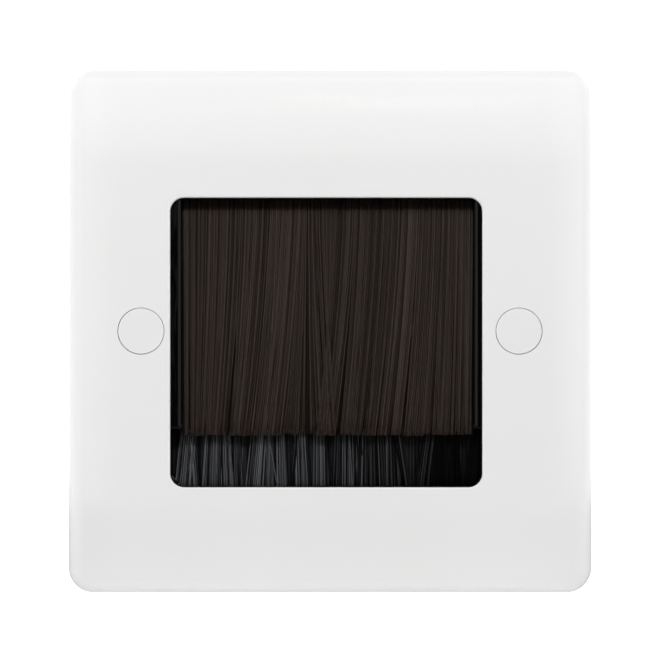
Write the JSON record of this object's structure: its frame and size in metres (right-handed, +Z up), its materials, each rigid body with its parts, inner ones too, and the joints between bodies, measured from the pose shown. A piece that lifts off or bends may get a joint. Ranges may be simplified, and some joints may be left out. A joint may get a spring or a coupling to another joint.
{
  "type": "brush wall plate",
  "caption": "White single-gang wall plate whose opening is closed by two overlapping black strip brushes, so cables pass through the wall.",
  "frame": {"origin": "centre of the plate's square outline, on the plane of the wall", "axes": "+X right and +Z up as seen from the room, the front faces -Y and the wall is at +Y"},
  "size_m": [0.0842, 0.029, 0.0842],
  "materials": {
    "plate_white": "polished urea moulding",
    "cap_white": "polished",
    "carrier_black": "glossy",
    "bar_black": "moulded matt",
    "channel_steel": "galvanised",
    "wire_steel": "drawn wire",
    "bristle_brown": "drawn filament",
    "bristle_black": "drawn filament",
    "screw_steel": "zinc plated",
    "clamp_screw_steel": "zinc plated"
  },
  "bodies": {
    "root": {"faceplate": "plate_white", "screw_cap_left": "cap_white", "screw_cap_right": "cap_white", "fixing_screw_left": "screw_steel", "fixing_screw_right": "screw_steel", "brush_carrier": "carrier_black", "upper_clamp_bar": "bar_black", "lower_clamp_bar": "bar_black", "upper_channel": "channel_steel", "lower_channel": "channel_steel", "upper_core_wire": "wire_steel", "lower_core_wire": "wire_steel", "upper_bristles": "bristle_brown", "lower_bristles": "bristle_black", "clamp_screw_1": "clamp_screw_steel", "clamp_screw_2": "clamp_screw_steel", "clamp_screw_3": "clamp_screw_steel", "clamp_screw_4": "clamp_screw_steel"}
  },
  "joints": []
}
